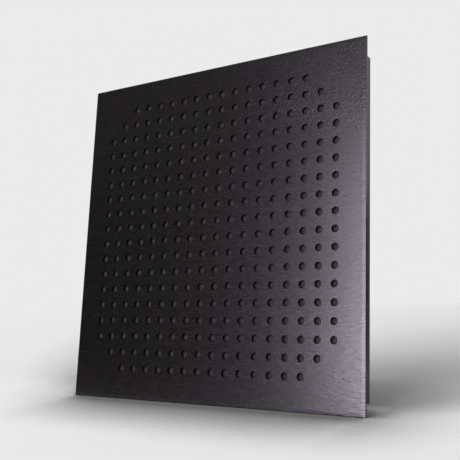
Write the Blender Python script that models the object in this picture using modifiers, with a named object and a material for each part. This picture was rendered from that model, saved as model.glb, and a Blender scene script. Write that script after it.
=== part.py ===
"""A square, wall-hung acoustic panel.

A thin perforated plate is glued to a deep timber frame. The frame is set in from the plate's edges, and
holds a slab of absorber behind a sheet of fleece. A back board closes it, and two keyhole plates let into
the side rails hang it on the wall.

The model is in metres. The panel faces -Y, +Z is up, and the origin is the middle of the face that lies
against the wall.
"""
import math

import bmesh
import bpy
from mathutils import Matrix, Vector

# Front plate
PLATE_WIDTH = 0.600
PLATE_HEIGHT = 0.600
PLATE_THICKNESS = 0.004

# Perforation: a square grid of round holes, stepped back at the four corners
HOLE_DIAMETER = 0.0125
HOLE_PITCH = 0.029
HOLE_TO_RAIL = 0.001
CORNER_STEPS = 2
HOLE_SIDES = 8

# Timber frame behind the plate
FRAME_INSET = 0.0175
FRAME_DEPTH = 0.0485
EASED_EDGE = 0.001

# Back board, let into a rebate round the frame's rear opening
BOARD_THICKNESS = 0.003
REBATE_WIDTH = 0.010
BOARD_CLEARANCE = 0.0005

# Absorber and the fleece in front of it
FLEECE_THICKNESS = 0.0005
FLEECE_CLEARANCE = 0.001
CORE_CLEARANCE = 0.0005

# Two dowels hold each corner of the frame
DOWEL_DIAMETER = 0.008
DOWEL_LENGTH = 0.040
DOWEL_IN_SIDE_RAIL = 0.015
DOWEL_SPACING = 0.020
DOWEL_CHAMFER = 0.001
DOWEL_SIDES = 8

# Countersunk wood screw, used for the back board and the hangers
SCREW_LENGTH = 0.014
SCREW_DIAMETER = 0.003
SCREW_HEAD_DIAMETER = 0.006
SCREW_TIP_LENGTH = 0.003
SCREW_HEAD_SINK = 0.0002
SCREW_FROM_CORNER = 0.100
SCREW_SIDES = 8

# Keyhole hanger plates, let in flush with the rear of the side rails
HANGER_WIDTH = 0.015
HANGER_THICKNESS = 0.0015
HANGER_CORNER_RADIUS = 0.003
HANGER_WEB = 0.0025
HANGER_LIP = 0.0015
HANGER_DROP = 0.060
KEYHOLE_DIAMETER = 0.0085
SLOT_WIDTH = 0.0046
SLOT_TRAVEL = 0.011
POCKET_DEPTH = 0.010
POCKET_MARGIN = 0.001
ARC_SEGMENTS = 3

# Gap kept between pieces that touch, and how far a cutter runs past the face that it opens
SEAT_GAP = 0.0003
CUT_PAST = 0.002

# Sizes that follow from the ones above
frame_width = PLATE_WIDTH - 2 * FRAME_INSET
frame_height = PLATE_HEIGHT - 2 * FRAME_INSET
rail_land = HANGER_WIDTH + 2 * HANGER_LIP
rail_thickness = rail_land + REBATE_WIDTH
opening_width = frame_width - 2 * rail_thickness
opening_height = frame_height - 2 * rail_thickness
rebate_depth = BOARD_THICKNESS + SEAT_GAP
screw_head_height = (SCREW_HEAD_DIAMETER - SCREW_DIAMETER) / 2
keyhole_length = SLOT_TRAVEL + (KEYHOLE_DIAMETER + SLOT_WIDTH) / 2
hanger_length = keyhole_length + 2 * (SCREW_HEAD_DIAMETER + 2 * HANGER_WEB)

# Places of the faces from the wall, at y = 0, forward to the room
rail_front_y = -FRAME_DEPTH
plate_back_y = rail_front_y - SEAT_GAP
plate_front_y = plate_back_y - PLATE_THICKNESS
fleece_front_y = rail_front_y
fleece_back_y = fleece_front_y + FLEECE_THICKNESS
core_front_y = fleece_back_y + SEAT_GAP
core_back_y = -rebate_depth

# Centres of the rails and of what lies on them
side_rail_x = (frame_width - rail_thickness) / 2
end_rail_z = (frame_height - rail_thickness) / 2
hanger_x = (frame_width - rail_land) / 2
hanger_z = frame_height / 2 - HANGER_DROP
keyhole_z = hanger_z - (keyhole_length - KEYHOLE_DIAMETER) / 2
slot_end_z = keyhole_z + SLOT_TRAVEL
dowel_depths = [(rail_front_y - rebate_depth + side * DOWEL_SPACING) / 2 for side in (-1, 1)]

SIDES = {"left": -1, "right": 1}
ENDS = {"bottom": -1, "top": 1}


def clear_scene():
    for obj in list(bpy.data.objects):
        bpy.data.objects.remove(obj, do_unlink=True)


def new_collection(name):
    collection = bpy.data.collections.new(name)
    bpy.context.scene.collection.children.link(collection)
    return collection


clear_scene()
PARTS = new_collection("acoustic_panel")
CUTTERS = new_collection("cutters")
PANEL = bpy.data.objects.new("panel_origin", None)
PARTS.objects.link(PANEL)


def new_material(name, colour, roughness, metallic=0.0):
    material = bpy.data.materials.new(name)
    material.use_nodes = True
    shader = material.node_tree.nodes["Principled BSDF"]
    shader.inputs["Base Color"].default_value = (*colour, 1.0)
    shader.inputs["Roughness"].default_value = roughness
    shader.inputs["Metallic"].default_value = metallic
    return material


STAINED_WOOD = new_material("stained_wood", (0.014, 0.012, 0.014), 0.38)
PAINTED_TIMBER = new_material("painted_timber", (0.045, 0.041, 0.046), 0.60)
HARDBOARD = new_material("hardboard", (0.060, 0.052, 0.048), 0.75)
FLEECE = new_material("fleece", (0.050, 0.045, 0.050), 0.95)
MINERAL_FELT = new_material("mineral_felt", (0.080, 0.078, 0.080), 0.98)
BEECH = new_material("beech", (0.520, 0.330, 0.180), 0.55)
ZINCED_STEEL = new_material("zinced_steel", (0.560, 0.570, 0.580), 0.35, 1.0)
BLACK_STEEL = new_material("black_steel", (0.050, 0.050, 0.052), 0.40, 1.0)


def place(obj, collection, material=None):
    """Moves an object to its collection, under the panel's own empty, and gives it its material."""
    for holder in list(obj.users_collection):
        holder.objects.unlink(obj)
    collection.objects.link(obj)
    obj.parent = PANEL
    if material:
        obj.data.materials.clear()
        obj.data.materials.append(material)
    if collection is CUTTERS:
        obj.hide_render = True
        obj.display_type = "WIRE"
    return obj


def box(name, size, centre, collection=None, material=None):
    """A block of the given X, Y and Z size."""
    bpy.ops.mesh.primitive_cube_add(size=1.0)
    obj = bpy.context.object
    obj.name = name
    for vertex in obj.data.vertices:
        vertex.co = [length * part for length, part in zip(size, vertex.co)]
    obj.location = centre
    return place(obj, collection or PARTS, material)


def span_box(name, width, height, front_y, back_y, collection=None, material=None):
    """A block centred on the panel, from one depth to another."""
    size = (width, back_y - front_y, height)
    return box(name, size, (0, (front_y + back_y) / 2, 0), collection, material)


def arc(centre_x, centre_z, radius, start, end, segments):
    """Points of an arc in the panel's plane, with angles in degrees from +X towards +Z."""
    angles = [math.radians(start + (end - start) * i / segments) for i in range(segments + 1)]
    return [(centre_x + radius * math.cos(a), centre_z + radius * math.sin(a)) for a in angles]


def rounded_rectangle(width, height, radius):
    """A rectangle with round corners, centred on the origin."""
    radius = min(radius, width / 2, height / 2)
    x = width / 2 - radius
    z = height / 2 - radius
    points = []
    for corner_x, corner_z, start in ((x, z, 0), (-x, z, 90), (-x, -z, 180), (x, -z, 270)):
        points += arc(corner_x, corner_z, radius, start, start + 90, ARC_SEGMENTS)
    return points


def keyhole():
    """The hanger's opening: a round entry for the screw's head, and a slot above it for the shank."""
    entry_radius = KEYHOLE_DIAMETER / 2
    slot_radius = min(SLOT_WIDTH, KEYHOLE_DIAMETER * 0.95) / 2
    mouth = math.degrees(math.asin(slot_radius / entry_radius))
    entry_z = keyhole_z - hanger_z
    entry = arc(0, entry_z, entry_radius, 90 + mouth, 450 - mouth, 4 * ARC_SEGMENTS)
    slot_end = arc(0, entry_z + SLOT_TRAVEL, slot_radius, 0, 180, 2 * ARC_SEGMENTS)
    return entry + slot_end


def flat_piece(name, outlines, thickness, location, collection=None, material=None):
    """A sheet cut to an outline, with its holes: a filled 2D curve, extruded, stood up in the XZ plane."""
    curve = bpy.data.curves.new(name, "CURVE")
    curve.dimensions = "2D"
    curve.fill_mode = "BOTH"
    curve.extrude = thickness / 2
    for outline in outlines:
        spline = curve.splines.new("POLY")
        spline.points.add(len(outline) - 1)
        for point, (x, z) in zip(spline.points, outline):
            point.co = (x, z, 0, 1)
        spline.use_cyclic_u = True
    guide = bpy.data.objects.new(name + "_outline", curve)
    PARTS.objects.link(guide)
    bpy.context.view_layer.update()
    mesh = bpy.data.meshes.new_from_object(guide.evaluated_get(bpy.context.evaluated_depsgraph_get()))
    bpy.data.objects.remove(guide, do_unlink=True)
    shape = bmesh.new()
    shape.from_mesh(mesh)
    bmesh.ops.remove_doubles(shape, verts=shape.verts, dist=1e-6)
    bmesh.ops.recalc_face_normals(shape, faces=shape.faces)
    shape.to_mesh(mesh)
    shape.free()
    mesh.name = name
    obj = bpy.data.objects.new(name, mesh)
    obj.location = location
    obj.rotation_euler = (math.radians(90), 0, 0)
    return place(obj, collection or PARTS, material)


def turned(name, profile, sides, location, axis, collection=None, material=None):
    """A turned piece: a profile of radius and height, from the top down, swept about its own Z."""
    mesh = bpy.data.meshes.new(name)
    points = [(radius, 0, height) for radius, height in profile]
    mesh.from_pydata(points, [(i, i + 1) for i in range(len(points) - 1)], [])
    obj = bpy.data.objects.new(name, mesh)
    sweep = obj.modifiers.new("turn", "SCREW")
    sweep.steps = sides
    sweep.render_steps = sides
    sweep.use_merge_vertices = True
    sweep.merge_threshold = 1e-5
    sweep.use_smooth_shade = False
    obj.location = location
    obj.rotation_euler = Vector((0, 0, 1)).rotation_difference(Vector(axis)).to_euler()
    return place(obj, collection or PARTS, material)


def cut(piece, *tools):
    """Takes the space of each tool out of a piece."""
    for tool in tools:
        boolean = piece.modifiers.new(tool.name, "BOOLEAN")
        boolean.operation = "DIFFERENCE"
        boolean.solver = "EXACT"
        boolean.object = tool


def ease_edges(piece, width):
    """Takes the arris off a sawn board."""
    bevel = piece.modifiers.new("eased_edges", "BEVEL")
    bevel.width = width
    bevel.segments = 1
    bevel.limit_method = "ANGLE"


def hole_radius(diameter, sides):
    """Corner radius of the many-sided hole whose open area is that of the round one."""
    return diameter / 2 * math.sqrt(2 * math.pi / (sides * math.sin(2 * math.pi / sides)))


def hole_positions(length):
    """Centres of the holes along one side, evenly about the middle, none of them over a rail."""
    margin = FRAME_INSET + rail_thickness + HOLE_TO_RAIL + HOLE_DIAMETER / 2
    count = 1 + math.floor((length - 2 * margin) / HOLE_PITCH)
    return [(i - (count - 1) / 2) * HOLE_PITCH for i in range(count)]


def perforation_centres():
    """Centres of all the plate's holes, without those that the stepped corners leave out."""
    columns = hole_positions(PLATE_WIDTH)
    rows = hole_positions(PLATE_HEIGHT)
    centres = []
    for i, x in enumerate(columns):
        for j, z in enumerate(rows):
            steps_from_corner = min(i, len(columns) - 1 - i) + min(j, len(rows) - 1 - j)
            if steps_from_corner >= CORNER_STEPS:
                centres.append((x, z))
    return centres


def make_front_plate():
    """The perforated plate: a sheet, and a drill pattern that goes right through it."""
    plate = span_box("front_plate", PLATE_WIDTH, PLATE_HEIGHT, plate_front_y, plate_back_y,
                     material=STAINED_WOOD)
    radius = hole_radius(HOLE_DIAMETER, HOLE_SIDES)
    length = PLATE_THICKNESS + 2 * CUT_PAST
    middle_y = (plate_front_y + plate_back_y) / 2
    along_y = Matrix.Rotation(math.radians(90), 4, "X")
    flat_side_up = Matrix.Rotation(math.pi / HOLE_SIDES, 4, "Z")
    drills = bmesh.new()
    for x, z in perforation_centres():
        place_at = Matrix.Translation((x, middle_y, z)) @ along_y @ flat_side_up
        bmesh.ops.create_cone(drills, cap_ends=True, segments=HOLE_SIDES, radius1=radius, radius2=radius,
                              depth=length, matrix=place_at)
    mesh = bpy.data.meshes.new("drill_pattern")
    drills.to_mesh(mesh)
    drills.free()
    cut(plate, place(bpy.data.objects.new("drill_pattern", mesh), CUTTERS))


def make_absorber():
    """The fleece behind the holes, and the slab that fills the frame up to the back board."""
    width = opening_width - 2 * FLEECE_CLEARANCE
    height = opening_height - 2 * FLEECE_CLEARANCE
    span_box("acoustic_fleece", width, height, fleece_front_y, fleece_back_y, material=FLEECE)
    width = opening_width - 2 * CORE_CLEARANCE
    height = opening_height - 2 * CORE_CLEARANCE
    span_box("absorber_core", width, height, core_front_y, core_back_y, material=MINERAL_FELT)


def make_rails():
    """Two full-height side rails, and the top and bottom rails between them, all rebated for the board."""
    rails = {}
    depth_centre = rail_front_y / 2
    for side, sign in SIDES.items():
        size = (rail_thickness, FRAME_DEPTH, frame_height)
        rails[side] = box(side + "_rail", size, (sign * side_rail_x, depth_centre, 0), material=PAINTED_TIMBER)
    for end, sign in ENDS.items():
        size = (opening_width - 2 * SEAT_GAP, FRAME_DEPTH, rail_thickness)
        rails[end] = box(end + "_rail", size, (0, depth_centre, sign * end_rail_z), material=PAINTED_TIMBER)
    width = opening_width + 2 * REBATE_WIDTH
    height = opening_height + 2 * REBATE_WIDTH
    rebate = span_box("board_rebate", width, height, -rebate_depth, CUT_PAST, CUTTERS)
    for rail in rails.values():
        ease_edges(rail, EASED_EDGE)
        cut(rail, rebate)
    return rails


def dowel_profile(radius, length):
    """Half section of a dowel with chamfered ends."""
    chamfer = min(DOWEL_CHAMFER, radius / 2)
    tip = length / 2
    return [(0, tip), (radius - chamfer, tip), (radius, tip - chamfer),
            (radius, chamfer - tip), (radius - chamfer, -tip), (0, -tip)]


def make_dowels(rails):
    """A pair of dowels across each corner's butt joint, in bores through both rails' meeting faces."""
    radius = DOWEL_DIAMETER / 2
    profile = dowel_profile(radius, DOWEL_LENGTH)
    bore_radius = radius + SEAT_GAP
    bore_tip = DOWEL_LENGTH / 2 + SEAT_GAP
    bore_profile = [(0, bore_tip), (bore_radius, bore_tip), (bore_radius, -bore_tip), (0, -bore_tip)]
    for side, side_sign in SIDES.items():
        joint_x = opening_width / 2 + DOWEL_IN_SIDE_RAIL - DOWEL_LENGTH / 2
        for end, end_sign in ENDS.items():
            for row, y in zip(("front", "rear"), dowel_depths):
                name = f"dowel_{end}_{side}_{row}"
                centre = (side_sign * joint_x, y, end_sign * end_rail_z)
                turned(name, profile, DOWEL_SIDES, centre, (1, 0, 0), material=BEECH)
                bore = turned(name + "_bore", bore_profile, DOWEL_SIDES, centre, (1, 0, 0), CUTTERS)
                cut(rails[side], bore)
                cut(rails[end], bore)


def screw_profile():
    """Half section of the countersunk screw, from the middle of its head down to its point."""
    head = SCREW_HEAD_DIAMETER / 2
    shank = SCREW_DIAMETER / 2
    return [(0, 0), (head, 0), (shank, -screw_head_height),
            (shank, SCREW_TIP_LENGTH - SCREW_LENGTH), (0, -SCREW_LENGTH)]


def screw_space_profile():
    """Half section of the hole that takes a screw: the screw's own shape, grown by the seat gap."""
    head = SCREW_HEAD_DIAMETER / 2 + SEAT_GAP
    shank = SCREW_DIAMETER / 2 + SEAT_GAP
    bottom = -SCREW_LENGTH - SEAT_GAP
    return [(0, CUT_PAST), (head, CUT_PAST), (head, 0), (shank, -screw_head_height), (shank, bottom),
            (0, bottom)]


def add_screw(name, x, z, material, pieces):
    """Drives one screw from the rear, and cuts its hole in the pieces that it passes through."""
    place_at = (x, -SCREW_HEAD_SINK, z)
    turned(name, screw_profile(), SCREW_SIDES, place_at, (0, 1, 0), material=material)
    space = turned(name + "_hole", screw_space_profile(), SCREW_SIDES, place_at, (0, 1, 0), CUTTERS)
    for piece in pieces:
        cut(piece, space)


def make_back_board(rails):
    """The board in its rebate, and two screws into each rail."""
    width = opening_width + 2 * (REBATE_WIDTH - BOARD_CLEARANCE)
    height = opening_height + 2 * (REBATE_WIDTH - BOARD_CLEARANCE)
    board = span_box("back_board", width, height, -BOARD_THICKNESS, 0, material=HARDBOARD)
    across = (opening_width + REBATE_WIDTH) / 2
    up = (opening_height + REBATE_WIDTH) / 2
    along_x = width / 2 - SCREW_FROM_CORNER
    along_z = height / 2 - SCREW_FROM_CORNER
    for side, sign in SIDES.items():
        for half, level in (("lower", -1), ("upper", 1)):
            name = f"board_screw_{side}_{half}"
            add_screw(name, sign * across, level * along_z, BLACK_STEEL, (board, rails[side]))
    for end, sign in ENDS.items():
        for side, half in SIDES.items():
            name = f"board_screw_{end}_{side}"
            add_screw(name, half * along_x, sign * up, BLACK_STEEL, (board, rails[end]))
    return board


def make_hangers(rails):
    """A keyhole plate in each side rail, with a pocket behind its opening for the wall screw's head."""
    outline = rounded_rectangle(HANGER_WIDTH, hanger_length, HANGER_CORNER_RADIUS)
    seat_outline = rounded_rectangle(HANGER_WIDTH + 2 * SEAT_GAP, hanger_length + 2 * SEAT_GAP,
                                     HANGER_CORNER_RADIUS + SEAT_GAP)
    seat_depth = HANGER_THICKNESS + SEAT_GAP
    pocket_width = KEYHOLE_DIAMETER + 2 * POCKET_MARGIN
    pocket_outline = rounded_rectangle(pocket_width, pocket_width + SLOT_TRAVEL, pocket_width / 2)
    pocket_z = (keyhole_z + slot_end_z) / 2
    screw_offset = hanger_length / 2 - HANGER_WEB - SCREW_HEAD_DIAMETER / 2
    for side, sign in SIDES.items():
        x = sign * hanger_x
        rail = rails[side]
        plate = flat_piece(side + "_hanger", [outline, keyhole()], HANGER_THICKNESS,
                           (x, -HANGER_THICKNESS / 2, hanger_z), material=ZINCED_STEEL)
        seat = flat_piece(side + "_hanger_seat", [seat_outline], seat_depth + CUT_PAST,
                          (x, (CUT_PAST - seat_depth) / 2, hanger_z), CUTTERS)
        pocket = flat_piece(side + "_hanger_pocket", [pocket_outline], POCKET_DEPTH + CUT_PAST,
                            (x, (CUT_PAST - POCKET_DEPTH) / 2, pocket_z), CUTTERS)
        cut(rail, seat, pocket)
        for half, level in (("lower", -1), ("upper", 1)):
            name = f"{side}_hanger_screw_{half}"
            add_screw(name, x, hanger_z + level * screw_offset, ZINCED_STEEL, (plate, rail))


def shade_round_pieces():
    """Shades the turned pieces smooth between their sharp edges."""
    for obj in PARTS.objects:
        if obj.type == "MESH" and any(modifier.type == "SCREW" for modifier in obj.modifiers):
            obj.modifiers["turn"].use_smooth_shade = True


def build_panel():
    make_front_plate()
    make_absorber()
    rails = make_rails()
    make_dowels(rails)
    make_back_board(rails)
    make_hangers(rails)
    shade_round_pieces()
    print("Pieces:", sum(obj.type == "MESH" for obj in PARTS.objects))


build_panel()
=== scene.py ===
# %% [markdown]
# # Dressing a perforated acoustic panel
#
# The panel is a thin black-stained sheet, drilled with a square grid of holes, on the front of a
# timber frame. Behind the holes lie a fleece and a felted slab, and a hardboard back with two
# keyhole hangers closes the frame. The solids come ready made from the CAD model. This script
# gives every one of them its finish, and remakes the ones whose fine detail a CAD solid leaves out.

# %% Load the frame
import math
import random

import bmesh
import bpy
from mathutils import Matrix, Quaternion, Vector, noise


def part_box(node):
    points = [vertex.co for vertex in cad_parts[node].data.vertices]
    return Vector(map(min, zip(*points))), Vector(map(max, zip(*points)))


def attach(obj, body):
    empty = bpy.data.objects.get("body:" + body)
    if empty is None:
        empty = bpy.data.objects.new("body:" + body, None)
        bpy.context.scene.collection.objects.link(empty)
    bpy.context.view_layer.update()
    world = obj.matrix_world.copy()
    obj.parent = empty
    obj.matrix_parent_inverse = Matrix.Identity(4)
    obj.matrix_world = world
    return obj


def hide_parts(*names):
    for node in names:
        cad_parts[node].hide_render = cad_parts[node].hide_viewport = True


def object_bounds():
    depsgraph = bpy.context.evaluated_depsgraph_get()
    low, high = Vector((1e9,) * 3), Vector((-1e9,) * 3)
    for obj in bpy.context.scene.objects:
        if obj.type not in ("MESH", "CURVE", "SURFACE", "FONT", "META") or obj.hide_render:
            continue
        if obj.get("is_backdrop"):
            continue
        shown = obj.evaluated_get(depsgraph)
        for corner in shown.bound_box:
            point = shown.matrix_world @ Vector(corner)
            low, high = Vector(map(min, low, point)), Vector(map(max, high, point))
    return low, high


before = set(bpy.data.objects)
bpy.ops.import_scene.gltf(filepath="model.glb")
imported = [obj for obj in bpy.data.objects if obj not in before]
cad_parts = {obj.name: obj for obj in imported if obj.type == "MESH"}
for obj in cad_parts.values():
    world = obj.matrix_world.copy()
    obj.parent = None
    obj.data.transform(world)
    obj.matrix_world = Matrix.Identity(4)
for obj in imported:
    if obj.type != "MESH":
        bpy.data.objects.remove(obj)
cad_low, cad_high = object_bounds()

MM = 0.001


def in_mm(low, high):
    """The sides of a box in millimetres, for printing."""
    return [round((h - l) / MM, 1) for l, h in zip(low, high)]


print("CAD box in millimetres:", in_mm(cad_low, cad_high))

# %% [markdown]
# ## Sums on sockets
#
# A finish is a small calculation: a bit of grain, times its strength, plus some pores. Written with
# raw nodes that is many lines for one sum. The class below wraps a socket, so that plain Python
# signs add the Math nodes, and one method adds any other kind of node.

# %% A socket that can be added and multiplied


class Wire:
    """An output socket of a shader node. Arithmetic on it adds the nodes that work it out."""

    def __init__(self, tree, socket=None):
        self.tree = tree
        self.socket = socket

    def node(self, kind, settings=None, sockets=None, output=None):
        """Adds a node: settings first, then sockets by name or in order. Gives one output."""
        made = self.tree.nodes.new(kind)
        for name, value in (settings or {}).items():
            if name == "stops":
                fill_ramp(made.color_ramp, value)
            else:
                setattr(made, name, value)
        inlets = [s for s in made.inputs if s.enabled]
        if isinstance(sockets, dict):
            pairs = [(next(s for s in inlets if s.name == name), value)
                     for name, value in sockets.items()]
        else:
            pairs = zip(inlets, sockets or [])
        for inlet, value in pairs:
            if isinstance(value, Wire):
                self.tree.links.new(value.socket, inlet)
            else:
                inlet.default_value = value
        outlets = [s for s in made.outputs if s.enabled and output in (None, s.name)]
        return Wire(self.tree, outlets[0] if outlets else None)

    def work_out(self, operation, *terms):
        """One Math node, or one Vector Math node where a vector takes part."""
        vector = any(t.socket.type == "VECTOR" if isinstance(t, Wire) else isinstance(t, tuple)
                     for t in terms)
        kind = "ShaderNodeVectorMath" if vector else "ShaderNodeMath"
        if vector:
            terms = [(t, t, t) if isinstance(t, (int, float)) else t for t in terms]
        return self.node(kind, {"operation": operation}, terms)

    def __add__(self, other):
        return self.work_out("ADD", self, other)

    def __sub__(self, other):
        return self.work_out("SUBTRACT", self, other)

    def __rsub__(self, other):
        return self.work_out("SUBTRACT", other, self)

    def __mul__(self, other):
        return self.work_out("MULTIPLY", self, other)

    def __pow__(self, other):
        return self.work_out("POWER", self, other)

    __radd__ = __add__
    __rmul__ = __mul__


def fill_ramp(ramp, stops):
    """Sets a colour ramp's stops from (place, colour) pairs."""
    while len(ramp.elements) > 1:
        ramp.elements.remove(ramp.elements[-1])
    ramp.elements[0].position = stops[0][0]
    ramp.elements[0].color = stops[0][1]
    for place, tone in stops[1:]:
        ramp.elements.new(place).color = tone


# %% [markdown]
# ## Small tools for finishes
#
# Every pattern here is measured in metres on the object itself, through the Object coordinates, so
# the grain keeps its size on every piece and from every side. A finish starts with those
# coordinates and ends with one Principled shader, whose bump comes from one height. Most colours
# in between only waver: a noise picks a tone between a dark and a light one.

# %% Start and end of a finish


def new_finish(name):
    """A material with an empty node tree, and the wire of its Object coordinates."""
    material = bpy.data.materials.new(name)
    material.use_nodes = True
    material.node_tree.nodes.clear()
    return material, Wire(material.node_tree).node("ShaderNodeTexCoord", output="Object")


def end_finish(place, look, height, relief):
    """Adds the Principled shader with the look, and a bump up to relief metres high."""
    bump = {"Strength": 1.0, "Distance": relief, "Height": height}
    look["Normal"] = place.node("ShaderNodeBump", {}, bump)
    shader = place.node("ShaderNodeBsdfPrincipled", {}, look)
    place.node("ShaderNodeOutputMaterial", {}, {"Surface": shader})
    print(len(place.tree.nodes), "nodes, relief in millimetres:", round(relief / MM, 3))


# %% Patterns and colours


def speckle(place, size, detail, roughness=0.5, shift=0.0):
    """Noise from 0 to 1, its blotches about size metres: one number, or one for each axis.

    Detail adds finer blotches, roughness makes them count more, and a shift gives another noise.
    """
    sizes = size if isinstance(size, tuple) else (size, size, size)
    stretched = place * tuple(1 / s for s in sizes) + (shift, shift, shift)
    values = {"Vector": stretched, "Scale": 1.0, "Detail": detail, "Roughness": roughness}
    return place.node("ShaderNodeTexNoise", {}, values)


def axes_of(place, axes):
    """The wires of some of a place's coordinates."""
    return [place.node("ShaderNodeSeparateXYZ", {}, [place], axis) for axis in axes]


def steps(value, low, high):
    """Runs from 0 to 1 while the wire goes from low to high, which may also be downwards."""
    limits = {"Value": value, "From Min": low, "From Max": high}
    return value.node("ShaderNodeMapRange", {"clamp": True}, limits)


def colour(red, green, blue):
    """A colour with full cover, as a socket wants it."""
    return (red, green, blue, 1.0)


def grey(level):
    """A plain grey."""
    return colour(level, level, level)


def blend(factor, first, second):
    """A colour between two, at the factor."""
    sockets = {"Factor": factor, "A": first, "B": second}
    return factor.node("ShaderNodeMix", {"data_type": "RGBA"}, sockets)


def waver(pattern, dark, light, spread=0.15):
    """A colour that goes from dark to light while a pattern goes from below to above 0.5."""
    return blend(steps(pattern, 0.5 - spread, 0.5 + spread), dark, light)


# %% [markdown]
# ## The camera
#
# The picture was taken from the lower right, with the panel turned about 35 degrees away. The place,
# the direction and the focal length come from fitting a camera to the grid of holes, whose pitch is
# known. The lens shift stands for the picture's off-centre crop.

# %% Camera

CAMERA_PLACE = Vector((0.8163, -1.1523, -0.2227))
CAMERA_AIM = Vector((-0.5609, 0.8029, 0.2017))
CAMERA_ROLL = math.radians(2.17)


def put_in_scene(name, data):
    """A new object for a mesh, lamp, curve or camera, linked into the scene."""
    thing = bpy.data.objects.new(name, data)
    bpy.context.scene.collection.objects.link(thing)
    return thing


lens = bpy.data.cameras.new("camera")
lens.sensor_width = 36.0
lens.lens = 61.62
lens.shift_x = -0.0071
lens.shift_y = -0.0721
lens.clip_start = 0.01
camera = put_in_scene("camera", lens)
camera.location = CAMERA_PLACE
camera.rotation_mode = "QUATERNION"
level_aim = CAMERA_AIM.to_track_quat("-Z", "Y")
camera.rotation_quaternion = level_aim @ Quaternion((0, 0, 1), CAMERA_ROLL)
bpy.context.scene.camera = camera
bpy.context.scene.view_settings.view_transform = "Standard"
print("camera distance in metres:", round(CAMERA_PLACE.length, 3))

# %% [markdown]
# ## The floor
#
# The picture shows the panel leaning back a little, while the model stands upright in its own frame.
# So the floor takes the lean instead: it falls gently in front of the panel and rises behind it, and
# levels out further off. It is one strip of wide faces, short near the foot and longer far away.

# %% Floor

FLOOR_LEAN = math.radians(11)
LEAN_FRONT, LEAN_BACK = 5.0, 2.5
FLOOR_REACH = 14.0
FLOOR_ROWS = 60
FOOT = Vector((0.0, cad_low.y + 4 * MM, cad_low.z))


def floor_height(y):
    """Height of the floor at a depth y: a slope through the foot that eases out at both ends."""
    along = y - FOOT.y
    reach = LEAN_FRONT if along < 0 else LEAN_BACK
    return FOOT.z + math.tan(FLOOR_LEAN) * reach * math.tanh(along / reach)


def add_floor():
    """The floor, as a piece of the stage."""
    shares = [(row / FLOOR_ROWS) ** 2 for row in range(1, FLOOR_ROWS + 1)]
    depths = [FOOT.y + side * FLOOR_REACH * share for side in (-1, 1) for share in shares]
    depths = sorted(depths + [FOOT.y])
    points = [(x, y, floor_height(y)) for y in depths for x in (-FLOOR_REACH, FLOOR_REACH)]
    faces = [(2 * n, 2 * n + 1, 2 * n + 3, 2 * n + 2) for n in range(len(depths) - 1)]
    mesh = bpy.data.meshes.new("floor")
    mesh.from_pydata(points, [], faces)
    mesh.shade_smooth()
    piece = put_in_scene("floor", mesh)
    piece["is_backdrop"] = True
    return piece


floor = add_floor()
print("floor rises behind the panel by", round(floor_height(5) - FOOT.z, 3), "metres")

# %% [markdown]
# ## The floor's material
#
# Near the panel the floor is a plain diffuse white that keeps the shadow, and far off it fades to
# the background's own grey, which hides the horizon. The picture's shadow is deeper at the foot and
# beside the ends than broad lamps make it. Ambient occlusion says how much of the sky a spot sees,
# and a power of it darkens the white. Masks along x and y choose where each shade counts.

# %% Shade tools

SHADE_SAMPLES = 12

pale, spot = new_finish("pale_floor")
aside, inward = axes_of(spot, "XY")


def openness(reach, power):
    """How much of the sky a spot sees past anything within reach, with its contrast raised."""
    settings, sockets = {"samples": SHADE_SAMPLES}, {"Distance": reach}
    return spot.node("ShaderNodeAmbientOcclusion", settings, sockets, "AO") ** power


def only_in(mask, share):
    """The share where the mask is 1, and no change where it is 0."""
    return share * mask + (1 - mask)


# %% Where each shade lies: a mask is 0 at the first place and 1 at the second, in metres

behind = steps(inward, FOOT.y - 0.02, FOOT.y + 0.04)
off_left = steps(aside, -0.29, -0.40)
front_left = off_left * steps(inward, FOOT.y - 0.02, FOOT.y - 0.12)
rear_left = off_left * steps(inward, -0.03, 0.08) * steps(aside + inward, -0.54, -0.38)
off_right = steps(aside, 0.31, 0.38)
front_corner = steps(aside, 0.285, 0.32) * steps(inward, FOOT.y + 0.025, FOOT.y + 0.003)
under_overhang = steps(inward, FOOT.y - 0.002, FOOT.y + 0.006) * steps(inward, 0.03, 0.0)
under_corner = steps(aside, 0.25, 0.285) * steps(aside, 0.32, 0.29) * under_overhang
right_end = off_right + (1 - off_right) * front_corner

# %% The shade, and the material

KEPT_BEHIND, KEPT_FRONT_LEFT, KEPT_CORNER = 0.4, 0.85, 0.55
BACKGROUND = 0.83
FLOOR_COLOUR = 0.83
FADE_START, FADE_END = 1.3, 2.4

kept_light = behind * (1 - off_left) * KEPT_BEHIND + front_left * KEPT_FRONT_LEFT
kept_light = kept_light + under_corner * KEPT_CORNER
shade = only_in(1 - kept_light, openness(reach=0.222, power=3.38))
shade = shade * only_in((1 - behind) * (1 - under_corner), openness(reach=0.05, power=1.0))
shade = shade * only_in(rear_left, openness(reach=1.2, power=5.2))
shade = shade * only_in(right_end, openness(reach=0.22, power=2.5))
near_colour = blend(shade, grey(0.0), grey(FLOOR_COLOUR))
near = spot.node("ShaderNodeBsdfDiffuse", {}, {"Color": near_colour})
far = spot.node("ShaderNodeEmission", {}, {"Color": grey(BACKGROUND), "Strength": 1.0})
radius = spot.node("ShaderNodeVectorMath", {"operation": "LENGTH"}, [spot], "Value")
both = spot.node("ShaderNodeMixShader", {}, [steps(radius, FADE_START, FADE_END), near, far])
spot.node("ShaderNodeOutputMaterial", {}, {"Surface": both})
floor.data.materials.append(pale)
print("the floor's material has", len(pale.node_tree.nodes), "nodes")

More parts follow.
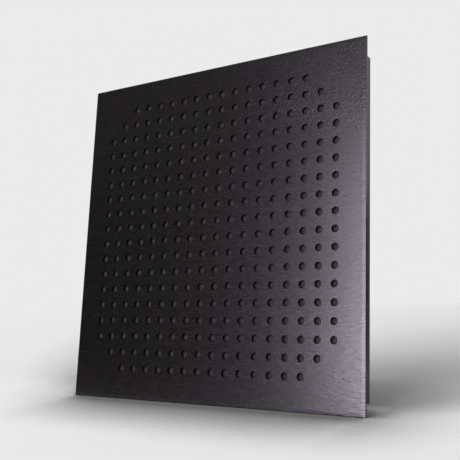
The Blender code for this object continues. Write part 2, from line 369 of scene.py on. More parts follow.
# %% [markdown]
# ## What the face mirrors
#
# A satin black face shows what it mirrors more than its own colour, so mirrored things and lamps are
# planned apart. A tall narrow glowing strip stands in front, a little to the left: its reflection is
# the glow that grows towards the panel's right edge. It is seen in reflections only, and its glow
# changes with height, because the picture's reflection does.

# %% Glowing strip


def around(azimuth, elevation, distance):
    """A point seen from the panel: azimuth 0 is straight in front, and grows to the right."""
    a, e = math.radians(azimuth), math.radians(elevation)
    return Vector((math.sin(a) * math.cos(e), -math.cos(a) * math.cos(e), math.sin(e))) * distance


def upright(azimuth, distance, width, low, high):
    """Corners of an upright sheet that faces the panel, from a low to a high z."""
    middle = around(azimuth, 0, distance)
    half = Vector((-middle.y, middle.x, 0)).normalized() * width / 2
    foot, head = Vector((0, 0, low)), Vector((0, 0, high))
    return [middle - half + foot, middle + half + foot, middle + half + head, middle - half + head]


def add_mirrored(name, corners, radiance, stops):
    """A sheet that only reflections show. The stops say how much of the radiance it has at a z."""
    mesh = bpy.data.meshes.new(name)
    mesh.from_pydata(corners, [], [(0, 1, 2, 3)])
    sheet = put_in_scene(name, mesh)
    sheet.visible_camera = sheet.visible_diffuse = sheet.visible_shadow = False
    sheet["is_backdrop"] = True
    glow, spot = new_finish(name)
    low, high = stops[0][0], stops[-1][0]
    tones = [((z - low) / (high - low), grey(share)) for z, share in stops]
    along = steps(axes_of(spot, "Z")[0], low, high)
    ramp = spot.node("ShaderNodeValToRGB", {"stops": tones}, [along], "Color")
    light = spot.node("ShaderNodeEmission", {}, {"Color": ramp, "Strength": radiance})
    spot.node("ShaderNodeOutputMaterial", {}, {"Surface": light})
    mesh.materials.append(glow)
    print(f"{name}: radiance up to {radiance * max(share for z, share in stops):.2f}")


STRIP_LOW, STRIP_HIGH = -0.75, 1.3
STRIP_STOPS = [
    (STRIP_LOW, 0.66), (-0.42, 0.68), (-0.25, 1.16), (0.06, 0.60),
    (0.365, 0.61), (0.67, 0.28), (1.0, 0.08), (STRIP_HIGH, 0.04),
]
strip = upright(azimuth=-11.6, distance=1.85, width=0.30, low=STRIP_LOW, high=STRIP_HIGH)
add_mirrored("strip_box", strip, 20.0, STRIP_STOPS)

# %% [markdown]
# ## The lamps
#
# Four broad lamps, which nothing mirrors, light the floor and the matt pieces. Sun lamps are used,
# since they light near and far alike and their angle sets how soft the shadow is. Their directions,
# levels and angles come from fitting the floor's soft shadows. A level of 1 lights a level floor so
# that its colour shows as written. The floor leans towards the low lamps, and so all four and the
# world's fill add up to about that on it.

# %% Lamps

LAMP_DISTANCE = 3.0


def add_overhead(name, azimuth, elevation, level, spread):
    """A broad far lamp that lights a level floor to a level. Its spread is its angle in degrees."""
    lamp = bpy.data.lights.new(name, "SUN")
    lamp.energy = level * math.pi / math.sin(math.radians(elevation))
    lamp.angle = math.radians(spread)
    thing = put_in_scene(name, lamp)
    thing.visible_glossy = False
    place = around(azimuth, elevation, LAMP_DISTANCE)
    thing.location = place
    thing.rotation_mode = "QUATERNION"
    thing.rotation_quaternion = (-place).to_track_quat("-Z", "Y")
    print(f"{name}: {lamp.energy:.2f} W per square metre")


add_overhead("left_light", azimuth=-44, elevation=15.9, level=0.34, spread=55)
add_overhead("front_light", azimuth=-6, elevation=12, level=0.093, spread=34)
add_overhead("right_light", azimuth=67, elevation=33, level=0.10, spread=36)
add_overhead("rear_light", azimuth=-123, elevation=65, level=0.14, spread=29)

# %% [markdown]
# ## Dark sheets
#
# A studio's black cards keep the rest of the mirrored room dark. One wide card stands in front, to
# the left of the strip, and is darkest low down. A small one stands behind the right end, and a flat
# one lies on the floor. Like the strip, they are seen in reflections only.

# %% Cards

CARD_LOW, CARD_HIGH = -0.55, 2.05
CARD_STOPS = [(CARD_LOW, 0.0), (0.3, 0.1), (1.0, 1.0), (CARD_HIGH, 1.0)]
EVEN = [(-1.0, 1.0), (1.0, 1.0)]
DARK = 0.01
FLAT_LEFT, FLAT_RIGHT, FLAT_NEAR, FLAT_FAR = -2.4, 0.3, -0.35, -2.0
FLAT_LIFT = 0.01

tall_card = upright(azimuth=-36, distance=2.5, width=4.2, low=CARD_LOW, high=CARD_HIGH)
add_mirrored("black_card", tall_card, 0.11, CARD_STOPS)
low_card = upright(azimuth=145, distance=0.6, width=0.6, low=-0.25, high=0.13)
add_mirrored("low_card", low_card, DARK, EVEN)
far_edge = [(x, FLAT_FAR, floor_height(FLAT_FAR) + FLAT_LIFT) for x in (FLAT_LEFT, FLAT_RIGHT)]
near_edge = [(x, FLAT_NEAR, floor_height(FLAT_NEAR) + FLAT_LIFT) for x in (FLAT_RIGHT, FLAT_LEFT)]
add_mirrored("flat_card", far_edge + near_edge, DARK, EVEN)

# %% [markdown]
# ## The world
#
# The background is the world's own pale grey. Light Path tells which kind of ray asks: the camera
# sees the grey, and so do mirrors and glass, while the world lights the pieces only by a faint fill.

# %% World

FILL = 0.08

world = bpy.data.worlds.new("studio")
world.use_nodes = True
world.node_tree.nodes.clear()
bpy.context.scene.world = world
sky = Wire(world.node_tree)
by_camera, by_mirror, by_glass = [
    sky.node("ShaderNodeLightPath", output=f"Is {kind} Ray")
    for kind in ("Camera", "Glossy", "Transmission")
]
seen = by_camera + by_mirror + by_glass
shown = sky.node("ShaderNodeMath", {"operation": "MINIMUM"}, [seen, 1.0])
strength = shown * (BACKGROUND - FILL) + FILL
glow = sky.node("ShaderNodeBackground", {}, {"Color": grey(1.0), "Strength": strength})
sky.node("ShaderNodeOutputWorld", {}, {"Surface": glow})
print("background", BACKGROUND, "and fill", FILL)

# %% [markdown]
# ## The face's finish
#
# The real sheet is wood with a black stain under a satin lacquer. Three things show it: short wavy
# strokes of grain that lie across the panel, a fine orange peel in the lacquer, and pores. All of
# them are only hundredths of a millimetre high, and they show because a satin reflection is so
# sensitive to the surface's tilt. So they go into the bump and hardly into the colour. The strokes
# are strongest low on the right and the peel high on the right, as the picture shows, and the holes'
# walls have a finish of their own: raw edges soak up the stain and stay matt black.

# %% Black-stained wood

stained_wood, place = new_finish("stained_wood")
across, inward, up = axes_of(place, "XYZ")
front_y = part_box("front_plate")[0].y
# The relief is for the face alone, so it is gone less than a millimetre behind it.
on_face = steps(inward, front_y + 0.8 * MM, front_y + 0.3 * MM)
right = steps(across, 0.0, 0.26)
lower = steps(up, -0.06, -0.2)
upper_right = steps(up, 0.12, 0.19) * steps(across, -0.06, 0.12)
# The grain's rows wander up and down, so its noise is read at a place that is moved in z.
wander = (speckle(place, 60 * MM, 1.0) - 0.5) * 11 * MM
grain_place = place + place.node("ShaderNodeCombineXYZ", {}, {"Z": wander})
strokes = speckle(grain_place, (16 * MM, 10 * MM, 2.5 * MM), 1.0, 0.5)
pores = speckle(grain_place, (9 * MM, 3 * MM, 0.9 * MM), 2.0, 0.6, 7.0)
peel = speckle(place, 2.7 * MM, 1.0, 0.5, 3.0)
stain = strokes * 0.6 + pores * 0.4
dark, light = colour(0.0020, 0.0015, 0.0017), colour(0.0042, 0.0033, 0.0035)
look = {
    "Base Color": waver(stain, dark, light, 0.2),
    "Roughness": 0.18 + strokes * 0.10 + peel * 0.06,
    "Specular IOR Level": 0.6,
    "IOR": 1.55,
    "Specular Tint": colour(0.93, 0.82, 1.0),
}
# The three heights are shares of one millimetre.
stroke_height = right * (lower * 0.17 + 0.075) + 0.015
peel_height = upper_right * 0.36 + 0.003
raised = strokes * stroke_height + pores * 0.01 + peel * peel_height
end_finish(place, look, raised * on_face, MM)

# %% Raw wood of the holes' walls

sawn_wood, place = new_finish("sawn_wood")
fibres = speckle(place, (2 * MM, 0.4 * MM, 2 * MM), 3.0, 0.6)
dark, light = colour(0.0022, 0.0020, 0.0021), colour(0.0055, 0.0050, 0.0052)
look = {
    "Base Color": waver(fibres, dark, light, 0.2),
    "Roughness": 0.8,
    "Specular IOR Level": 0.1,
}
end_finish(place, look, fibres, 0.03 * MM)

# %% [markdown]
# ## The perforated sheet
#
# 312 round holes in a 4 mm sheet: a Boolean modifier would do it, but leaves long thin triangles
# that a satin finish shows. Here the sheet is built as a pattern of square cells instead. Each cell
# is a ring of faces round one hole, with a very small chamfer on both sides and a round wall, and
# cells share the points on their borders. The three cells in each corner have no hole. Round the
# pattern goes a plain margin, whose last millimetres fall away a little, as sanding leaves them.

# %% Sizes of the sheet

HOLES_A_SIDE = 18
PITCH = 29 * MM
HOLE_RADIUS = 6.25 * MM
BLANK_STEPS = 2
HOLE_POINTS = 32
SIDE_STEPS = HOLE_POINTS // 4
SHEET_FRONT, SHEET_BACK = (end.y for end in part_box("front_plate"))
SHEET_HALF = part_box("front_plate")[1].x
CELLS_HALF = HOLES_A_SIDE * PITCH / 2
# In millimetres: out from the hole's wall, and down from the face
RIM = [(0.25, 0.0), (0.0, 0.25)]
# In millimetres: in from the sheet's side, and down from the front or up from the back
FRONT_EDGE = [
    (7.0, 0.0), (6.5, 0.0), (5.5, 0.012), (4.5, 0.045), (3.5, 0.09),
    (2.5, 0.14), (1.2, 0.21), (0.3, 0.28), (0.08, 0.38), (0.0, 0.60),
]
BACK_EDGE = [(0.0, 0.4), (0.12, 0.12), (0.4, 0.0)]
print("sheet thickness in millimetres:", round((SHEET_BACK - SHEET_FRONT) / MM, 2))

# %% Points that neighbouring cells share


class Shell:
    """Points and faces of a mesh in the making. A point asked for twice is made once."""

    def __init__(self):
        self.points = []
        self.faces = []
        self.known = {}

    def point(self, x, y, z):
        """The number of the point at a place, told apart to a thousandth of a millimetre."""
        key = (round(x * 1e6), round(y * 1e6), round(z * 1e6))
        if key not in self.known:
            self.known[key] = len(self.points)
            self.points.append((x, y, z))
        return self.known[key]

    def band(self, first, second):
        """Quads between two closed rows of points."""
        for n in range(len(first)):
            m = (n + 1) % len(first)
            self.faces.append((first[n], first[m], second[m], second[n]))

    def fan(self, ring, centre):
        """Triangles between a closed row of points and the point in its middle."""
        for n in range(len(ring)):
            self.faces.append((ring[n], ring[(n + 1) % len(ring)], centre))

    def lattice(self, grid):
        """Quads between neighbours in a grid of points."""
        for lower, upper in zip(grid, grid[1:]):
            for n in range(len(lower) - 1):
                self.faces.append((lower[n], lower[n + 1], upper[n + 1], upper[n]))

    def mesh(self, name, smooth_to=25):
        """The finished mesh, with edges above an angle kept sharp."""
        made = bpy.data.meshes.new(name)
        made.from_pydata(self.points, [], self.faces)
        face_outwards(made)
        made.shade_smooth()
        made.set_sharp_from_angle(angle=math.radians(smooth_to))
        return made


def face_outwards(mesh, merge=None):
    """Turns all faces of a mesh outwards, after merging points that lie closer than merge."""
    work = bmesh.new()
    work.from_mesh(mesh)
    if merge:
        bmesh.ops.remove_doubles(work, verts=work.verts, dist=merge)
    bmesh.ops.recalc_face_normals(work, faces=work.faces)
    work.to_mesh(mesh)
    work.free()


# %% Outline of a square, and the pattern of holes


def square_row(half, count):
    """Points of a square's outline, from the middle of its right side, with count a side."""
    row = []
    for n in range(4 * count):
        side, step = divmod(n + count // 2, count)
        u = half * (2 * step / count - 1)
        row.append([(half, u), (-u, half), (-half, -u), (u, -half)][side % 4])
    return row


def has_hole(column, row):
    """Whether a cell is drilled: the cells in a corner's steps are left blank."""
    from_side = min(column, HOLES_A_SIDE - 1 - column)
    from_end = min(row, HOLES_A_SIDE - 1 - row)
    return from_side + from_end >= BLANK_STEPS


# %% One drilled cell, one blank cell and the margin


def add_hole(shell, cx, cz):
    """The faces of one cell round its hole, front and back."""
    turns = [2 * math.pi * n / HOLE_POINTS for n in range(HOLE_POINTS)]
    square = square_row(PITCH / 2, SIDE_STEPS)
    rows = [[shell.point(cx + x, SHEET_FRONT, cz + z) for x, z in square]]
    rings = [(out, SHEET_FRONT + down * MM) for out, down in RIM]
    rings += [(out, SHEET_BACK - down * MM) for out, down in reversed(RIM)]
    for out, y in rings:
        r = HOLE_RADIUS + out * MM
        rows.append([shell.point(cx + r * math.cos(t), y, cz + r * math.sin(t)) for t in turns])
    rows.append([shell.point(cx + x, SHEET_BACK, cz + z) for x, z in square])
    for first, second in zip(rows, rows[1:]):
        shell.band(first, second)


def add_blank(shell, cx, cz):
    """The faces of a cell without a hole: a plain lattice, front and back."""
    spots = [PITCH * (n / SIDE_STEPS - 0.5) for n in range(SIDE_STEPS + 1)]
    for y in (SHEET_FRONT, SHEET_BACK):
        shell.lattice([[shell.point(cx + x, y, cz + z) for x in spots] for z in spots])


def add_margin(shell):
    """The margin round the cells, the sanded edges and the sheet's sides."""
    rows = [(CELLS_HALF, SHEET_FRONT)]
    rows += [(SHEET_HALF - side * MM, SHEET_FRONT + down * MM) for side, down in FRONT_EDGE]
    rows += [(SHEET_HALF - side * MM, SHEET_BACK - up * MM) for side, up in BACK_EDGE]
    rows += [(CELLS_HALF, SHEET_BACK)]
    count = HOLES_A_SIDE * SIDE_STEPS
    made = [[shell.point(x, y, z) for x, z in square_row(half, count)] for half, y in rows]
    for first, second in zip(made, made[1:]):
        shell.band(first, second)


# %% Build the sheet


def add_piece(name, mesh, finish, slot, *nodes):
    """Puts a mesh in the scene as a piece of the panel that stands for its CAD nodes."""
    piece = put_in_scene(name, mesh)
    mesh.materials.clear()
    mesh.materials.append(finish)
    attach(piece, "root")
    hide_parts(*nodes)
    print(f"{name}: {len(mesh.polygons)} faces")
    return piece


shell = Shell()
drilled = 0
for column in range(HOLES_A_SIDE):
    for row in range(HOLES_A_SIDE):
        centre = [(n - (HOLES_A_SIDE - 1) / 2) * PITCH for n in (column, row)]
        if has_hole(column, row):
            add_hole(shell, *centre)
            drilled += 1
        else:
            add_blank(shell, *centre)
add_margin(shell)
sheet_mesh = shell.mesh("perforated_face", 12)
face = add_piece("perforated_face", sheet_mesh, stained_wood, "stained_wood", "front_plate")
print("holes drilled:", drilled)

# %% Matt walls in the holes

WALL_TILT = 0.75

face.data.materials.append(sawn_wood)
for polygon in face.data.polygons:
    inside_cells = max(map(abs, polygon.center)) < CELLS_HALF
    looks_aside = abs(polygon.normal.y) < WALL_TILT
    if inside_cells and looks_aside:
        polygon.material_index = 1
print("wall faces:", sum(polygon.material_index for polygon in face.data.polygons))

# %% [markdown]
# ## The fleece behind the holes
#
# A thin non-woven is glued behind the sheet, and its matt grey is what every hole shows. It is made
# as a real sheet with a front and a back, and its short fibres are a fine crossed noise. Round each
# hole's edge its colour is darker: this is painted shade, for the shadow that the hole's wall casts
# on it.

# %% Fleece finish

fleece_finish, place = new_finish("fleece")
fibres_across = speckle(place, (2.4 * MM, 1 * MM, 0.35 * MM), 2.0, 0.6)
fibres_up = speckle(place, (0.35 * MM, 1 * MM, 2.4 * MM), 2.0, 0.6, 5.0)
web = place.node("ShaderNodeMath", {"operation": "MAXIMUM"}, [fibres_across, fibres_up])
clouds = speckle(place, 9 * MM, 2.0)
cover = steps(web * 0.8 + clouds * 0.2, 0.4, 0.72)
threads = blend(cover, colour(0.0205, 0.017, 0.022), colour(0.040, 0.0335, 0.0415))
# How far a spot is from the nearest hole's centre, in pitches
cells = place * (1 / PITCH, 0.0, 1 / PITCH)
in_cell = place.node("ShaderNodeVectorMath", {"operation": "FRACTION"}, [cells])
off_centre = in_cell - (0.5, 0.0, 0.5)
reach = place.node("ShaderNodeVectorMath", {"operation": "LENGTH"}, [off_centre], "Value")
# Painted shade: the fleece's colour darkens towards each hole's wall, where the wall's shadow falls.
painted_wall_shade = steps(reach, 0.09, 0.22) * 0.7
look = {
    # The near-black colour here is the painted shade round each hole's edge.
    "Base Color": blend(painted_wall_shade, threads, colour(0.004, 0.0035, 0.004)),
    "Roughness": 0.95,
    "Specular IOR Level": 0.15,
    "Sheen Weight": 0.1,
    "Sheen Roughness": 0.6,
}
end_finish(place, look, web, 0.15 * MM)

# %% Fleece sheet

FLEECE_CELLS = 64
FLEECE_RISE = 0.12 * MM
FLEECE_WAVES = 90


def sway_at(place, waves):
    """A smooth random share from 0 to 1 at a place, with so many waves a metre."""
    return 0.5 + 0.5 * noise.noise(place * waves)


def thin_sheet(name, low, high, cells, rise, waves):
    """A closed thin sheet between two faces of a box; its front rises and falls by up to rise."""
    shell = Shell()
    xs = [low.x + (high.x - low.x) * n / cells for n in range(cells + 1)]
    zs = [low.z + (high.z - low.z) * n / cells for n in range(cells + 1)]
    rims = []
    for y, sway in ((low.y, rise), (high.y, 0.0)):
        grid = []
        for z in zs:
            ys = [y + sway * sway_at(Vector((x, 0.0, z)), waves) for x in xs]
            grid.append([shell.point(x, u, z) for x, u in zip(xs, ys)])
        shell.lattice(grid)
        right = [row[-1] for row in grid]
        left = [row[0] for row in grid]
        rims.append(grid[0][:-1] + right[:-1] + grid[-1][:0:-1] + left[:0:-1])
    shell.band(*rims)
    return shell.mesh(name)


low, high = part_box("acoustic_fleece")
fleece_mesh = thin_sheet("fleece_sheet", low, high, FLEECE_CELLS, FLEECE_RISE, FLEECE_WAVES)
fleece = add_piece("fleece_sheet", fleece_mesh, fleece_finish, "fleece", "acoustic_fleece")
print("fleece in millimetres:", in_mm(low, high))

# %% [markdown]
# ## The absorber slab
#
# The slab is felted fibre: a soft block with rounded corners and an uneven, hairy skin. It starts as
# a block of small faces, whose points are drawn in near the edges and by a noise that is the same in
# every run. They only ever move inwards, so the slab keeps clear of the frame round it.

# %% Felt finish

felt_finish, place = new_finish("mineral_felt")
hairs = speckle(place, (3 * MM, 0.5 * MM, 0.5 * MM), 3.0, 0.6)
crossing = speckle(place, (0.5 * MM, 0.5 * MM, 3 * MM), 3.0, 0.6, 4.0)
flecks = speckle(place, 6 * MM, 3.0, 0.6, 9.0)
felt = hairs * 0.4 + crossing * 0.4 + flecks * 0.2
dark, light = colour(0.050, 0.048, 0.050), colour(0.13, 0.125, 0.13)
look = {
    "Base Color": waver(felt, dark, light),
    "Roughness": 1.0,
    "Specular IOR Level": 0.1,
    "Sheen Weight": 0.2,
}
end_finish(place, look, felt, 0.6 * MM)

# %% Slab

SLAB_CELL = 9 * MM
SLAB_SOFT = 4 * MM
SLAB_ROUGH = 0.8 * MM
SLAB_WAVES = 70


def block_grid(shell, axis, end, counts):
    """The points of one side of a block, as shares of its three sizes."""
    u, v = [n for n in range(3) if n != axis]
    grid = []
    for m in range(counts[v] + 1):
        row = []
        for n in range(counts[u] + 1):
            share = [0.0, 0.0, 0.0]
            share[axis], share[u], share[v] = end, n / counts[u], m / counts[v]
            row.append(shell.point(*share))
        grid.append(row)
    return grid


def felted_block(name, low, high):
    """A block of small faces with soft edges and an uneven skin, inside low and high."""
    size, middle = high - low, (low + high) / 2
    counts = [max(4, round(side / SLAB_CELL)) for side in size]
    shell = Shell()
    for axis in range(3):
        for end in (0.0, 1.0):
            shell.lattice(block_grid(shell, axis, end, counts))
    inner = [side / 2 - SLAB_SOFT for side in size]
    for n, share in enumerate(shell.points):
        spot = Vector([l + s * side for l, s, side in zip(low, share, size)]) - middle
        core = Vector([max(-limit, min(limit, c)) for limit, c in zip(inner, spot)])
        out = spot - core
        if out.length > SLAB_SOFT:
            out = out.normalized() * SLAB_SOFT
        drawn_in = sway_at(spot + middle, SLAB_WAVES) * SLAB_ROUGH / SLAB_SOFT
        shell.points[n] = tuple(middle + core + out * (1 - drawn_in))
    return shell.mesh(name, 60)


slab_mesh = felted_block("felt_slab", *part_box("absorber_core"))
slab = add_piece("felt_slab", slab_mesh, felt_finish, "mineral_felt", "absorber_core")

# %% [markdown]
# ## The timber frame
#
# The four rails are planed pine under a dark grey matt paint, and the CAD solids have their true
# shape, with the rebate, the butt joints and the eased edges. They keep their meshes and only get a
# finish: the grain runs along each rail, so the side rails need it turned upright.

# %% Painted rails


def painted(name, along):
    """Matt paint over planed timber, with the grain along x or along z."""
    finish, place = new_finish(name)
    long_way, short_way = 70 * MM, 1.6 * MM
    sizes = (long_way, 5 * MM, short_way) if along == "x" else (short_way, 5 * MM, long_way)
    ribs = speckle(place, sizes, 3.0, 0.6)
    roller = speckle(place, 1.2 * MM, 2.0, 0.5, 2.0)
    wear = speckle(place, 35 * MM, 3.0, 0.6, 6.0)
    dark, light = colour(0.026, 0.023, 0.027), colour(0.042, 0.038, 0.044)
    look = {
        "Base Color": waver(ribs * 0.5 + wear * 0.5, dark, light),
        "Roughness": 0.40 + 0.1 * roller,
    }
    end_finish(place, look, ribs * 0.7 + roller * 0.3, 0.06 * MM)
    return finish


def give(node, finish):
    """Puts a finish on a CAD node in place of its plain material."""
    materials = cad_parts[node].data.materials
    materials.clear()
    materials.append(finish)
    print(node, "gets", finish.name)


across_paint = painted("painted_timber_across", "x")
upright_paint = painted("painted_timber_upright", "z")
for side in ("left", "right"):
    give(side + "_rail", upright_paint)
for end in ("top", "bottom"):
    give(end + "_rail", across_paint)

# %% [markdown]
# ## The back board
#
# Hardboard is pressed wood fibre: dark brown, with a faint mottle and short fibres that lie every
# way. Its smooth side faces out.

# %% Hardboard

hardboard, place = new_finish("hardboard")
mottle = speckle(place, 14 * MM, 4.0, 0.65)
shreds = speckle(place, (4 * MM, 1 * MM, 0.7 * MM), 3.0, 0.6, 3.0)
shreds_up = speckle(place, (0.7 * MM, 1 * MM, 4 * MM), 3.0, 0.6, 8.0)
pressed = mottle * 0.4 + shreds * 0.3 + shreds_up * 0.3
dark, light = colour(0.040, 0.031, 0.026), colour(0.085, 0.068, 0.056)
look = {
    "Base Color": waver(pressed, dark, light, 0.14),
    "Roughness": 0.48 + 0.14 * mottle,
}
end_finish(place, look, pressed, 0.05 * MM)
give("back_board", hardboard)

# %% [markdown]
# ## The screws
#
# Each screw is a countersunk wood screw. One mesh is turned from its profile, with the thread worked
# into the radius of its shank, and the cross recess is cut into the head by a Boolean modifier. The
# copies go to the places of the CAD screws, each turned a little differently, as a hand leaves them.

# %% Metal finishes


def metal(name, dark, light, roughness, metallic):
    """A plated or blackened steel with fine grains and wider, duller stains."""
    finish, place = new_finish(name)
    grains = speckle(place, 0.6 * MM, 3.0, 0.6)
    stains = speckle(place, 5 * MM, 3.0, 0.6, 4.0)
    look = {
        "Base Color": waver(grains * 0.5 + stains * 0.5, dark, light),
        "Roughness": roughness + 0.14 * stains,
        "Metallic": metallic,
    }
    end_finish(place, look, grains, 0.01 * MM)
    return finish


zinc_tones = colour(0.50, 0.51, 0.53), colour(0.66, 0.67, 0.68)
black_tones = colour(0.020, 0.020, 0.021), colour(0.055, 0.055, 0.058)
steels = {
    "zinced_steel": metal("zinced_steel", *zinc_tones, roughness=0.26, metallic=1.0),
    "black_steel": metal("black_steel", *black_tones, roughness=0.38, metallic=0.6),
}

# %% Profile and thread of a screw

SCREW_LENGTH, SCREW_HEAD, SCREW_SHANK = 14 * MM, 6 * MM, 3 * MM
SCREW_POINTS = 28
THREAD_PITCH, THREAD_ROWS = 1.3 * MM, 10
THREAD_ROOT, THREAD_WIDTH = 0.7, 0.4
SMOOTH_PART, TIP = 2.6 * MM, 3.2 * MM
BLUNT = 0.12
SHARP_METAL = 35


def thread_wave(turn):
    """0 at the root of the thread and 1 at its crest, for a place along one pitch."""
    return max(0.0, 1 - abs(turn % 1.0 - 0.5) * (2 / THREAD_WIDTH))


def screw_radius(depth, crest, turn):
    """The radius of the threaded part at a depth and a turn, down to the blunt tip."""
    taper = min(1.0, (SCREW_LENGTH - depth) / TIP)
    thread = crest * (THREAD_ROOT + (1 - THREAD_ROOT) * thread_wave(depth / THREAD_PITCH - turn))
    return thread * (BLUNT + (1 - BLUNT) * taper)


def screw_mesh(name):
    """A countersunk screw along -Y, with the top of its head at y = 0."""
    head, crest = SCREW_HEAD / 2, SCREW_SHANK / 2
    rows = [(0.0, head - 0.1 * MM), (0.12 * MM, head), (0.3 * MM, head)]
    rows += [(0.3 * MM + head - crest, crest), (SMOOTH_PART, crest)]
    threaded = SCREW_LENGTH - SMOOTH_PART
    count = int(threaded / THREAD_PITCH * THREAD_ROWS)
    rows += [(SMOOTH_PART + threaded * n / count, None) for n in range(1, count)]
    shell = Shell()
    rings = []
    for depth, radius in rows:
        ring = []
        for n in range(SCREW_POINTS):
            turn = n / SCREW_POINTS
            r = screw_radius(depth, crest, turn) if radius is None else radius
            angle = 2 * math.pi * turn
            ring.append(shell.point(r * math.cos(angle), -depth, r * math.sin(angle)))
        rings.append(ring)
    for first, second in zip(rings, rings[1:]):
        shell.band(first, second)
    shell.fan(rings[0], shell.point(0, 0, 0))
    shell.fan(rings[-1], shell.point(0, -SCREW_LENGTH, 0))
    return shell.mesh(name, SHARP_METAL)


# %% Cross recess

CROSS_WIDTH, CROSS_WALL, CROSS_DEPTH = 3.3 * MM, 0.95 * MM, 1.5 * MM
ABOVE_HEAD = 0.3 * MM


def cross_cutter(name):
    """The tapered cross that leaves a screw's recess, from a little above the head's top."""
    shell = Shell()
    corners = ((-1, -1), (1, -1), (1, 1), (-1, 1))
    # The ends of the taper: a height, and how much of the cross's half sizes is left there
    ends = ((-CROSS_DEPTH, 0.42, 0.7), (ABOVE_HEAD, 1.1, 1.05))
    wide, narrow = CROSS_WIDTH / 2, CROSS_WALL / 2
    for half_x, half_z in ((wide, narrow), (narrow, wide)):
        rings = []
        for y, share_x, share_z in ends:
            x, z = half_x * share_x, half_z * share_z
            rings.append([shell.point(sx * x, y, sz * z) for sx, sz in corners])
        shell.band(*rings)
        shell.faces += [tuple(ring) for ring in rings]
    return shell.mesh(name)


def carve(mesh, cutter_mesh, name):
    """The mesh with the cutter taken out of it by an exact Boolean, as a new mesh."""
    body = put_in_scene("carved", mesh)
    tool = put_in_scene("cutter", cutter_mesh)
    cut = body.modifiers.new("cut", "BOOLEAN")
    cut.operation = "DIFFERENCE"
    cut.solver = "EXACT"
    cut.use_self = True  # the cross is two bars that overlap
    cut.object = tool
    drawn = bpy.context.evaluated_depsgraph_get()
    made = bpy.data.meshes.new_from_object(body.evaluated_get(drawn))
    made.name = name
    for thing in (body, tool):
        bpy.data.objects.remove(thing)
    made.set_sharp_from_angle(angle=math.radians(SHARP_METAL))
    return made


recessed_screw = carve(screw_mesh("plain_screw"), cross_cutter("cross"), "recessed_screw")
print("one screw:", len(recessed_screw.polygons), "faces")

# %% Put the screws in

# A seed of its own, so that every run turns the screws alike
rng = random.Random(7)
for node in sorted(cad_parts):
    if "screw" not in node:
        continue
    low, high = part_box(node)
    middle = (low + high) / 2
    turned = Matrix.Rotation(rng.uniform(0, math.pi), 4, "Y")
    mesh = recessed_screw.copy()
    mesh.name = "fine_" + node
    mesh.transform(Matrix.Translation((middle.x, high.y, middle.z)) @ turned)
    kind = "zinced_steel" if "hanger" in node else "black_steel"
    add_piece("fine_" + node, mesh, steels[kind], kind, node)

# %% [markdown]
# ## The keyhole hangers
#
# Each hanger is a stamped steel plate with round ends to its slot and two countersunk holes. A flat
# curve with holes in it, thickened and bevelled, gives the outline with its softened edges in one
# go, and two cones cut the countersinks.

# %% Plate from outlines


def arc_points(cx, cz, radius, start, end, count):
    """Points of an arc, in degrees."""
    turns = [math.radians(start + (end - start) * n / count) for n in range(count + 1)]
    return [(cx + radius * math.cos(t), cz + radius * math.sin(t)) for t in turns]


def plate_from(name, outlines, thickness, ease):
    """A flat plate with holes from closed outlines, rear face at y = 0, with eased edges."""
    curve = bpy.data.curves.new(name, "CURVE")
    curve.dimensions = "2D"
    curve.fill_mode = "BOTH"
    curve.extrude = thickness / 2 - ease
    curve.bevel_depth = ease
    curve.bevel_resolution = 1
    curve.offset = -ease
    for outline in outlines:
        spline = curve.splines.new("POLY")
        spline.points.add(len(outline) - 1)
        for point, (x, z) in zip(spline.points, outline):
            point.co = (x, z, 0, 1)
        spline.use_cyclic_u = True
    holder = put_in_scene(name, curve)
    drawn = bpy.context.evaluated_depsgraph_get()
    made = bpy.data.meshes.new_from_object(holder.evaluated_get(drawn))
    bpy.data.objects.remove(holder)
    upright_turn = Matrix.Rotation(math.radians(90), 4, "X")
    made.transform(Matrix.Translation((0, -thickness / 2, 0)) @ upright_turn)
    face_outwards(made, merge=0.001 * MM)
    return made


# %% Hangers

KEYHOLE_RADIUS = 4.25 * MM
SLOT_HALF = 2.3 * MM
SLOT_TRAVEL = 11 * MM
KEYHOLE_DROP = 4.525 * MM
HANGER_CORNER = 3 * MM
HANGER_EASE = 0.15 * MM
HANGER_SHARP = 12
CORNER_STEPS, ENTRY_STEPS, SLOT_STEPS = 8, 32, 16
FIXING_RADIUS, FIXING_POINTS = 1.65 * MM, 32
SINK_RADIUS, SINK_ABOVE, SINK_BELOW = 3.2 * MM, 0.85 * MM, 1.9 * MM


def hanger_outline(half_x, half_z):
    """A rectangle with round corners."""
    inner_x, inner_z = half_x - HANGER_CORNER, half_z - HANGER_CORNER
    outline = []
    for quarter, (sx, sz) in enumerate(((1, 1), (-1, 1), (-1, -1), (1, -1))):
        turns = 90 * quarter, 90 * quarter + 90, CORNER_STEPS
        outline += arc_points(sx * inner_x, sz * inner_z, HANGER_CORNER, *turns)
    return outline


def keyhole_outline():
    """The round entry at the foot, and the slot that rises from it to a round end."""
    neck = math.degrees(math.asin(SLOT_HALF / KEYHOLE_RADIUS))
    entry = arc_points(0, -KEYHOLE_DROP, KEYHOLE_RADIUS, 90 + neck, 450 - neck, ENTRY_STEPS)
    return entry + arc_points(0, SLOT_TRAVEL - KEYHOLE_DROP, SLOT_HALF, 0, 180, SLOT_STEPS)


def countersink(z):
    """A cone of 45 degrees that opens towards the rear face at y = 0, round a height z."""
    cone = bmesh.new()
    bmesh.ops.create_cone(
        cone, cap_ends=True, segments=FIXING_POINTS, depth=SINK_ABOVE + SINK_BELOW,
        radius1=SINK_RADIUS - SINK_BELOW, radius2=SINK_RADIUS + SINK_ABOVE)
    made = bpy.data.meshes.new("countersink")
    cone.to_mesh(made)
    cone.free()
    place = Matrix.Translation((0, (SINK_ABOVE - SINK_BELOW) / 2, z))
    made.transform(place @ Matrix.Rotation(math.radians(-90), 4, "X"))
    return made


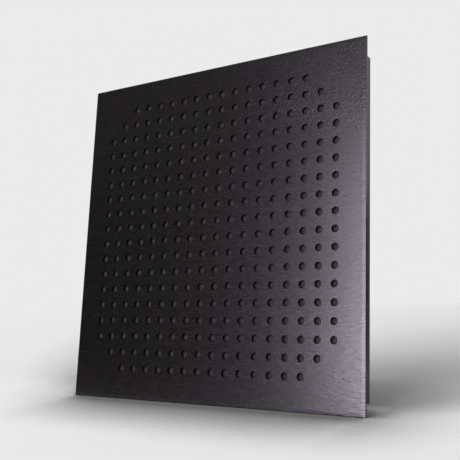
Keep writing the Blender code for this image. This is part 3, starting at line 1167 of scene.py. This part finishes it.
def hanger_mesh(name, low, high, screws):
    """A keyhole plate in the box from low to high, with countersinks at the screws' heights."""
    middle = (low + high) / 2
    outlines = [hanger_outline((high.x - low.x) / 2, (high.z - low.z) / 2), keyhole_outline()]
    heights = [z - middle.z for z in screws]
    last = 360 - 360 / FIXING_POINTS
    for z in heights:
        outlines.append(arc_points(0, z, FIXING_RADIUS, 0, last, FIXING_POINTS - 1))
    plate = plate_from(name, outlines, high.y - low.y, HANGER_EASE)
    for z in heights:
        plate = carve(plate, countersink(z), name)
    plate.transform(Matrix.Translation((middle.x, high.y, middle.z)))
    plate.shade_smooth()
    plate.set_sharp_from_angle(angle=math.radians(HANGER_SHARP))
    return plate


for side in ("left", "right"):
    ends = [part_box(f"{side}_hanger_screw_{end}") for end in ("lower", "upper")]
    heights = [(low.z + high.z) / 2 for low, high in ends]
    mesh = hanger_mesh(side + "_keyhole_hanger", *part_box(side + "_hanger"), heights)
    steel = steels["zinced_steel"]
    add_piece(side + "_keyhole_hanger", mesh, steel, "zinced_steel", side + "_hanger")

# %% [markdown]
# ## The dowels
#
# Eight beech dowels hold the frame's corners. They are hidden once the frame is glued, but someone
# who takes the model apart finds them, so they have the flutes that let the glue spread and the
# chamfers that lead them in.

# %% Beech

beech, place = new_finish("beech")
rays = speckle(place, (6 * MM, 0.8 * MM, 0.8 * MM), 3.0, 0.6)
flames = speckle(place, (40 * MM, 3 * MM, 3 * MM), 2.0, 0.5, 5.0)
dark, light = colour(0.45, 0.27, 0.14), colour(0.60, 0.40, 0.23)
look = {
    "Base Color": waver(rays * 0.5 + flames * 0.5, dark, light),
    "Roughness": 0.5 + 0.15 * rays,
}
end_finish(place, look, rays, 0.04 * MM)

# %% Dowels

FLUTES = 12
FLUTE_DEPTH = 0.3 * MM
LEAD_IN, LEAD_SHARE = 1.2 * MM, 0.72
SHARP_WOOD = 35


def dowel_mesh(name, low, high):
    """A fluted dowel along x, chamfered at both ends, that just fits its box."""
    middle = (low + high) / 2
    radius, half = (high.z - low.z) / 2, (high.x - low.x) / 2
    profile = [(-half, LEAD_SHARE), (-half + LEAD_IN, 1.0)]
    profile += [(-x, share) for x, share in reversed(profile)]
    shell = Shell()
    rings = []
    for x, share in profile:
        ring = []
        for n in range(FLUTES * 4):
            r = radius * share - (FLUTE_DEPTH if n % 4 == 0 else 0.0)
            angle = 2 * math.pi * n / (FLUTES * 4)
            y, z = middle.y + r * math.cos(angle), middle.z + r * math.sin(angle)
            ring.append(shell.point(middle.x + x, y, z))
        rings.append(ring)
    for first, second in zip(rings, rings[1:]):
        shell.band(first, second)
    shell.fan(rings[0], shell.point(low.x, middle.y, middle.z))
    shell.fan(rings[-1], shell.point(high.x, middle.y, middle.z))
    return shell.mesh(name, SHARP_WOOD)


for node in sorted(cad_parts):
    if node.startswith("dowel"):
        mesh = dowel_mesh("fluted_" + node, *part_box(node))
        add_piece("fluted_" + node, mesh, beech, "beech", node)

# %% [markdown]
# ## Sizes, and the end
#
# The CAD model's box was printed at the start, and the dressed panel's box is printed here, so
# the two can be set side by side.

# %% Sizes and finish

low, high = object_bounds()
print("visual box in millimetres:", in_mm(low, high))
